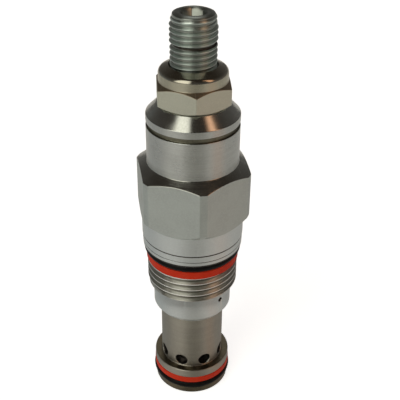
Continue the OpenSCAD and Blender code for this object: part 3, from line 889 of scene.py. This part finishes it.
def drill_mesh(radius, surface_r):
    """A drill that lies along X, with a point and a flare where it meets the surface."""
    point_out, full_out, flare_out, top_out = DRILL_HEIGHTS
    flare_r = radius + DRILL_FLARE
    rings = [(DRILL_CENTRE_R, point_out), (radius, full_out), (radius, -DRILL_FLARE),
             (flare_r, flare_out), (flare_r, top_out), (DRILL_CENTRE_R, top_out)]
    bm = bmesh.new()
    columns = []
    for turn in even_angles(DRILL_SIDES):
        columns.append([
            bm.verts.new(Vector((surface_r + out, r * cos(turn), r * sin(turn))) * MM)
            for r, out in rings
        ])
    for column, following in zip(columns, columns[1:] + columns[:1]):
        for k in range(len(rings) - 1):
            bm.faces.new([column[k], following[k], following[k + 1], column[k + 1]])
    bmesh.ops.remove_doubles(bm, verts=bm.verts, dist=DRILL_MERGE)
    bmesh.ops.recalc_face_normals(bm, faces=bm.faces)
    mesh = bpy.data.meshes.new("drill")
    bm.to_mesh(mesh)
    bm.free()
    return mesh


def drill(piece, angle, height, radius, surface_r):
    """Cuts a countersunk blind cross hole into a round piece."""
    tool = bpy.data.objects.new("drill", drill_mesh(radius, surface_r))
    bpy.context.scene.collection.objects.link(tool)
    tool.matrix_world = Matrix.Translation((0, 0, height * MM)) @ Matrix.Rotation(angle, 4, "Z")
    bpy.context.view_layer.update()
    modifier = piece.modifiers.new("drill", "BOOLEAN")
    modifier.operation = "DIFFERENCE"
    modifier.solver = "EXACT"
    modifier.object = tool
    evaluated = piece.evaluated_get(bpy.context.evaluated_depsgraph_get())
    cut = bpy.data.meshes.new_from_object(evaluated)
    piece.modifiers.remove(modifier)
    old = piece.data
    piece.data = cut
    bpy.data.meshes.remove(old)
    bpy.data.objects.remove(tool)


# -------- nose sleeve

SLEEVE_R = 6.7
SLEEVE_CHAMFER = 0.4
SLEEVE_ROUNDING = 0.09
NECK_R = 7.1
NECK_GAP = 0.1
BORE_R = 5.0
BORE_CHAMFER = 0.8
LAND_TOP = -31.6
LAND_EDGE = 0.12
# Radius, top and bottom.
NOSE_GLAND = (7.2, -33.6, -37.1)
NOSE_LIP_R = 8.55
NOSE_LIP_CHAMFER = 0.3
# Radius, bottom and top.
STOP_GROOVE = (5.5, -33.5, -32.5)
# Glands of the inner O-ring and the retaining wire: radius, and gap above and below.
SLEEVE_GLAND = (5.75, 0.22)
WIRE_GLAND = (6.15, 0.05)
PORT_R = 1.45
PORT_Z = -29.95
PORTS = 8
PORT_START = radians(14.6 - 90)
PORT_BAND = (-1.5, 2.3)
PORT_STEPS = 24
# Shares of the way from a port's rim to its panel's border where rings of points stand.
PORT_RINGS = (1.0, 0.6, 0.3, 0.1)
# A port's rounded edge: depths and widenings outside, and the widening at the bore.
PORT_EDGE = ((0.0, 0.12), (0.04, 0.04), (0.14, 0.0))
PORT_BORE_EDGE = 0.05
PORT_SHOWN_DEPTH = 0.15


def port_border():
    """The border of one port's panel as (angle, height) pairs around the port's centre."""
    low, high = PORT_BAND
    half = pi / PORTS
    across = [lerp(-half, half, i / PORT_STEPS) for i in range(PORT_STEPS)]
    up = [lerp(low, high, i / PORT_STEPS) for i in range(PORT_STEPS)]
    return (
        [(a, low) for a in across]
        + [(half, h) for h in up]
        + [(-a, high) for a in across]
        + [(-half, low + high - h) for h in up]
    )


def add_port_band(bm, port_angle):
    """The neck's wall around one side port: outside, the port's own wall, and the bore's side."""
    border = port_border()

    def ring(surface_r, hole_r, depth_r, share=0.0):
        """Round the hole on a cylinder of radius depth_r, a share of the way out to the border."""
        points = []
        for a, h in border:
            turn = atan2(h, a * surface_r)
            hole_a, hole_h = asin(hole_r * cos(turn) / depth_r), hole_r * sin(turn)
            angle = port_angle + lerp(hole_a, a, share)
            points.append(bm.verts.new(point(depth_r, angle, PORT_Z + lerp(hole_h, h, share))))
        return points

    mouth_r = PORT_R + PORT_EDGE[0][1]
    inner_r = PORT_R + PORT_BORE_EDGE
    rings = [ring(NECK_R, mouth_r, NECK_R, share) for share in PORT_RINGS]
    rings += [ring(NECK_R, PORT_R + widening, NECK_R - depth) for depth, widening in PORT_EDGE]
    rings.append(ring(BORE_R, PORT_R, BORE_R + PORT_BORE_EDGE))
    rings += [ring(BORE_R, inner_r, BORE_R, share) for share in (0.0, *reversed(PORT_RINGS))]
    count = len(border)
    for inner, outer in zip(rings, rings[1:]):
        for i in range(count):
            k = (i + 1) % count
            bm.faces.new([inner[i], inner[k], outer[k], outer[i]])


def make_nose_sleeve():
    size = Extent("nose_sleeve")
    land_r = size.rx
    gland_r, gland_top, gland_low = NOSE_GLAND
    stop_r, stop_low, stop_high = STOP_GROOVE
    ring_gland_r, ring_gap = SLEEVE_GLAND
    wire_gland_r, wire_gap = WIRE_GLAND
    band_low, band_high = (PORT_Z + edge for edge in PORT_BAND)
    o_ring = Extent("sleeve_o_ring")
    wire = Extent("sleeve_retaining_wire")
    lower = [
        (NECK_R, band_low), (NECK_R, LAND_TOP + LAND_EDGE), (NECK_R + LAND_EDGE, LAND_TOP),
        (land_r - LAND_EDGE, LAND_TOP), (land_r, LAND_TOP - LAND_EDGE), (land_r, gland_top),
        (gland_r, gland_top), (gland_r, gland_low), (NOSE_LIP_R, gland_low),
        (NOSE_LIP_R, size.bottom + NOSE_LIP_CHAMFER), (NOSE_LIP_R - NOSE_LIP_CHAMFER, size.bottom),
        (BORE_R + BORE_CHAMFER, size.bottom), (BORE_R, size.bottom + BORE_CHAMFER), (BORE_R, stop_low),
        (stop_r, stop_low), (stop_r, stop_high), (BORE_R, stop_high), (BORE_R, band_low),
    ]
    upper = [
        (BORE_R, band_high), (BORE_R, size.top), (SLEEVE_R - SLEEVE_CHAMFER, size.top),
        (SLEEVE_R, size.top - SLEEVE_CHAMFER), (SLEEVE_R, o_ring.top + ring_gap),
        (ring_gland_r, o_ring.top + ring_gap), (ring_gland_r, o_ring.bottom - ring_gap),
        (SLEEVE_R, o_ring.bottom - ring_gap), (SLEEVE_R, wire.top + wire_gap),
        (wire_gland_r, wire.top + wire_gap), (wire_gland_r, wire.bottom - wire_gap),
        (SLEEVE_R, wire.bottom - wire_gap), (SLEEVE_R, NECK_TOP - NECK_GAP),
        (NECK_R, NECK_TOP - NECK_GAP), (NECK_R, band_high),
    ]

    bm = bmesh.new()
    angles = [PORT_START + pi / PORTS + a for a in even_angles()]
    for part in (lower, upper):
        rounded = soften(part, SLEEVE_ROUNDING, closed=False)
        add_sweep(bm, lambda angle: rounded, angles, closed=False)
    for i in range(PORTS):
        add_port_band(bm, PORT_START + 2 * pi * i / PORTS)
    piece = finish_mesh(bm, "nose_sleeve_shell", "housing", SLEEVE_STEEL, "nose_sleeve")
    # Painted shade on the side ports' walls.
    paint(piece, STEEL_IN_SHADE, ((0, NECK_R - PORT_SHOWN_DEPTH), (band_low, band_high)))
    paint(piece, SLEEVE_SHADE, (ANY, (-FAR, gland_low + NEAR)),
          ((0, land_r - LAND_EDGE), (LAND_TOP - NEAR, LAND_TOP + NEAR)))


# -------- seals

HOUSING_O_RINGS = ("body_o_ring", "nose_o_ring", "joint_o_ring", "seat_o_ring", "sleeve_o_ring")
O_RINGS = {**dict.fromkeys(HOUSING_O_RINGS, "housing"), "carrier_o_ring": "carrier"}
O_RING_SIDES = 32
FLASH = 0.006
# Back-up rings and the radii of the glands they sit in.
BACKUP_RINGS = {"body_backup_ring": GLAND_R, "nose_backup_ring": NOSE_GLAND[0]}
BACKUP_GAP = 0.02
BACKUP_ROUNDING = 0.22


def make_o_ring(node, body):
    """A moulded O-ring with a faint parting flash on its outside and inside."""
    size = Extent(node)
    section = (size.top - size.bottom) / 2
    centre_r = size.rx - section
    outline = circle(centre_r, (size.top + size.bottom) / 2, section - FLASH, O_RING_SIDES)
    for i, side in ((0, 1), (O_RING_SIDES // 2, -1)):
        outline[i] = (centre_r + side * section, outline[i][1])
    bm = bmesh.new()
    add_sweep(bm, lambda angle: outline, even_angles())
    finish_mesh(bm, f"{node}_moulding", body, RUBBER, node)


def make_backup_ring(node, gland_r):
    size = Extent(node)
    inner_r = gland_r + BACKUP_GAP
    outline = [
        (inner_r, size.bottom), (size.rx, size.bottom), (size.rx, size.top), (inner_r, size.top),
    ]
    rounded = soften(outline, BACKUP_ROUNDING)
    bm = bmesh.new()
    add_sweep(bm, lambda angle: rounded, even_angles())
    finish_mesh(bm, f"{node}_moulding", "housing", URETHANE, node)


# -------- springs

# Body of the fixed end, wire's and coil's radius, turns, squeezing joint, fixed end's height, travel.
SPRINGS = {
    "pilot_spring": ("poppet", 0.9, 4.3, 4.5, "adjuster_travel", 2.42, 5.3),
    "main_spring": ("housing", 0.45, 3.3, 11, "main_piston_lift", -7.53, 4.0),
}
SPRING_SIDES = 16
SPRING_STATIONS = 64
# Rise of a closed end coil, and what grinding takes off the ends, as shares of the wire's radius.
CLOSED_RISE = 2.06
GROUND_OFF = 0.12


def make_spring(node, body, wire_r, coil_r, turns, joint, fixed_z, travel):
    """A compression spring with closed, ground ends."""
    size = Extent(node)
    closed = CLOSED_RISE * wire_r
    bm = bmesh.new()
    rings = []
    for i in range(int(turns * SPRING_STATIONS) + 1):
        turn = i / SPRING_STATIONS
        low = size.bottom + wire_r + closed * min(turn, 1)
        high = size.top - wire_r - closed * min(turns - turn, 1)
        middle = max(0.0, min(1.0, (turn - 1) / (turns - 2)))
        ring = []
        for r, z in circle(coil_r, lerp(low, high, middle), wire_r, SPRING_SIDES):
            ground = min(max(z, size.bottom + GROUND_OFF * wire_r), size.top - GROUND_OFF * wire_r)
            ring.append(bm.verts.new(point(r, 2 * pi * turn, ground)))
        rings.append(ring)
    add_tube(bm, rings)
    piece = finish_mesh(bm, f"{node}_coil", body, SPRING_STEEL, node)
    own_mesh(piece)


# -------- filter screen

SCREEN_PITCH = 0.36
SCREEN_WIRE_R = 0.07
SCREEN_WAVE = 0.055
SCREEN_SIDES = 6
SCREEN_STEPS = 4
SCREEN_RIM_R = 0.1
SCREEN_RIM_SIDES = 12
SCREEN_RIM_COLUMNS = 96


def add_screen_wire(bm, across, index, half, middle, wave):
    """One wire of the cloth, along X or, where across is true, along Y."""
    offset = index * SCREEN_PITCH
    steps = max(SCREEN_SIDES, int(half * 2 / (SCREEN_PITCH / SCREEN_STEPS)))
    rings = []
    for s in range(steps + 1):
        along = lerp(-half, half, s / steps)
        weave = cos(pi * (along / SCREEN_PITCH + index + across)) * wave
        ring = []
        for side, z in circle(offset, middle + weave, SCREEN_WIRE_R, SCREEN_SIDES):
            x, y = (side, along) if across else (along, side)
            ring.append(bm.verts.new(Vector((x, y, z)) * MM))
        rings.append(ring)
    add_tube(bm, rings)


def make_filter_screen():
    """Plain-woven wire cloth with a pressed rim."""
    size = Extent("filter_screen")
    middle = (size.bottom + size.top) / 2
    cloth_r = size.rx - SCREEN_RIM_R
    wave = min(SCREEN_WAVE, (size.top - size.bottom) / 2 - SCREEN_WIRE_R)
    bm = bmesh.new()
    count = int(cloth_r / SCREEN_PITCH)
    for across in (False, True):
        for i in range(-count, count + 1):
            half = sqrt(max(cloth_r ** 2 - (i * SCREEN_PITCH) ** 2, 0))
            if half >= SCREEN_PITCH:
                add_screen_wire(bm, across, i, half, middle, wave)
    rim = circle(cloth_r, middle, SCREEN_RIM_R, SCREEN_RIM_SIDES)
    add_sweep(bm, lambda angle: rim, even_angles(SCREEN_RIM_COLUMNS))
    finish_mesh(bm, "filter_screen_cloth", "piston", STAINLESS, "filter_screen")


# -------- CAD nodes that stay

KEPT_NODES = {
    "nut_seal_insert": NYLON,
    "spring_carrier": GROUND_STEEL,
    "pilot_poppet": GROUND_STEEL,
    "pilot_seat": GROUND_STEEL,
    # Painted shade: the main piston, seen through the side ports, is made dark.
    "main_piston": STEEL_IN_SHADE,
    "orifice_plug": GROUND_STEEL,
    "screen_retainer": GROUND_STEEL,
    "piston_stop_ring": SPRING_STEEL,
    "sleeve_retaining_wire": SPRING_STEEL,
}


def dress_cad_nodes():
    for name, material in KEPT_NODES.items():
        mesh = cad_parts[name].data
        mesh.materials.clear()
        mesh.materials.append(material)


# -------- stage, light and camera

WHITE = (1.0, 1.0, 1.0)
# The floor's gap and size, and the camera's clip distance, are in metres.
FLOOR_GAP = 0.0002
FLOOR_SIZE = 6.0
FLOOR_GLOW = 0.22
FLOOR_WHITE = 0.80
FLOOR_ROUGHNESS = 0.9
FLOOR_SPECULAR = 0.1
FLOOR_SOFT = 14.0
PAPER_FIBRE = (900.0, 3.0)
PAPER_LOW = (0.80, 0.81, 0.80)
PAPER_HIGH = (0.84, 0.85, 0.84)
ROOM_LOW = (0.16, 0.155, 0.15)
ROOM_HIGH = (0.045, 0.038, 0.032)
ROOM_FADE = (0.0, 0.8)
# Colour, then azimuth from the camera's side, half width, lowest and highest elevation in degrees.
WINDOWS = (
    ((1.9, 1.86, 1.66), -36, 24, 10, 68),
    ((1.9, 1.10, 0.70), 62, 6, 22, 64),
    ((0.22, 0.20, 0.19), 100, 28, 2, 12),
    ((0.20, 0.23, 0.24), -105, 28, 2, 12),
    ((1.5, 1.5, 1.45), 180, 18, 45, 68),
)
WINDOW_SOFT = 6.0
# Sectors of painted light and shade on the floor as the object reflects it: colour, azimuth and half
# width.
FLOOR_PAINTED_LIGHT = (
    ((0.62, 0.62, 0.60), 8, 22),
    ((1.0, 0.86, 0.80), 64, 8),
    ((0.80, 0.80, 0.80), 110, 30),
    ((0.78, 0.80, 0.82), -105, 30),
)
# A camera fitted to the photograph. Its place is given in a frame turned to its azimuth.
CAMERA_AZIMUTH = radians(-11.0)
CAMERA_PLACE = (1.568, -135.56, 94.89)
CAMERA_PITCH = radians(32.05)
CAMERA_ROLL = 0.01215
LENS = 67.45
SENSOR = 36.0
CLIP_START = 0.01


def facing(tree, direction, azimuth, half, soft):
    """How much a direction lies within a soft-edged sector. Degrees, with the camera's side at 0."""
    x, y, _ = split(tree, direction)
    turn = radians(azimuth) + CAMERA_AZIMUTH
    level = put(tree, "CombineXYZ", X=x, Y=y).outputs[0]
    unit = put(tree, "VectorMath", operation="NORMALIZE", Vector=level).outputs[0]
    towards = put(tree, "VectorMath", operation="DOT_PRODUCT", Vector=unit)
    towards.inputs[1].default_value = (sin(turn), -cos(turn), 0)
    outer = cos(radians(half + soft))
    inner = cos(radians(max(half - soft, 0)))
    return ramp(tree, towards.outputs["Value"], outer, inner)


def window(tree, direction, azimuth, half, low, high):
    """How much a direction lies within a soft-edged window. low and high are elevations."""
    rise = split(tree, direction)[2]
    across = facing(tree, direction, azimuth, half, WINDOW_SOFT)

    def fade(start, end):
        return ramp(tree, rise, sin(radians(start)), sin(radians(end)))

    above = fade(low - WINDOW_SOFT, low + WINDOW_SOFT)
    below = fade(high + WINDOW_SOFT, high - WINDOW_SOFT)
    return compute(tree, "MULTIPLY", across, compute(tree, "MULTIPLY", above, below))


def make_floor():
    """A sheet of white paper, which the camera sees lifted to near white and the object sees glowing,
    with painted light and shade in sectors.
    """
    bpy.ops.mesh.primitive_plane_add(size=FLOOR_SIZE, location=(0, 0, CAD_BOX[0].z - FLOOR_GAP))
    floor = bpy.context.object
    floor.name = "floor"
    material, tree, shader = new_material("floor_paper")
    where = put(tree, "TexCoord").outputs["Object"]
    paper = mix_colour(tree, noise(tree, where, *PAPER_FIBRE), PAPER_LOW, PAPER_HIGH)
    seen = put(tree, "LightPath").outputs["Is Camera Ray"]
    glow = WHITE
    # Painted light and shade on the floor, which only the object sees.
    for colour, azimuth, half in FLOOR_PAINTED_LIGHT:
        glow = mix_colour(tree, facing(tree, where, azimuth, half, FLOOR_SOFT), glow, colour)
    reflected = mix_colour(tree, 1.0, paper, glow, blend="MULTIPLY")
    dress(tree, shader, Base_Color=mix_colour(tree, seen, reflected, paper),
          Roughness=FLOOR_ROUGHNESS, Specular_IOR_Level=FLOOR_SPECULAR,
          Emission_Color=mix_colour(tree, seen, glow, WHITE),
          Emission_Strength=ramp(tree, seen, 0.0, 1.0, FLOOR_GLOW, FLOOR_WHITE))
    floor.data.materials.append(material)


def make_world():
    """A dim room with soft windows. Only the object sees it: the camera sees white."""
    world = bpy.data.worlds.new("studio")
    bpy.context.scene.world = world
    world.use_nodes = True
    tree = world.node_tree
    direction = put(tree, "TexCoord").outputs["Generated"]
    shade = mix_colour(tree, ramp(tree, split(tree, direction)[2], *ROOM_FADE), ROOM_LOW, ROOM_HIGH)
    for colour, *place_and_size in WINDOWS:
        shade = mix_colour(tree, window(tree, direction, *place_and_size), shade, colour)
    seen = put(tree, "LightPath").outputs["Is Camera Ray"]
    dress(tree, tree.nodes["Background"], Color=mix_colour(tree, seen, shade, WHITE))


def make_camera():
    heading = Matrix.Rotation(CAMERA_AZIMUTH, 3, "Z")
    ahead = Vector((0, cos(CAMERA_PITCH), -sin(CAMERA_PITCH)))
    right = Vector((1, 0, 0))
    up = right.cross(ahead)
    rolled_right = right * cos(CAMERA_ROLL) + up * sin(CAMERA_ROLL)
    rolled_up = up * cos(CAMERA_ROLL) - right * sin(CAMERA_ROLL)
    turn = heading @ Matrix((rolled_right, rolled_up, -ahead)).transposed()
    data = bpy.data.cameras.new("camera")
    data.lens = LENS
    data.sensor_width = SENSOR
    data.clip_start = CLIP_START
    camera = bpy.data.objects.new("camera", data)
    bpy.context.scene.collection.objects.link(camera)
    camera.matrix_world = Matrix.Translation(heading @ Vector(CAMERA_PLACE) * MM) @ turn.to_4x4()
    bpy.context.scene.camera = camera


make_bonnet()
make_lock_nut()
make_adjust_screw()
make_threaded_body()
make_nose_sleeve()
for ring_node, ring_body in O_RINGS.items():
    make_o_ring(ring_node, ring_body)
for ring_node, ring_gland_r in BACKUP_RINGS.items():
    make_backup_ring(ring_node, ring_gland_r)
for spring_node, spring_values in SPRINGS.items():
    make_spring(spring_node, *spring_values)
make_filter_screen()
dress_cad_nodes()
make_floor()
make_world()
make_camera()
bpy.context.scene.view_settings.view_transform = "Standard"
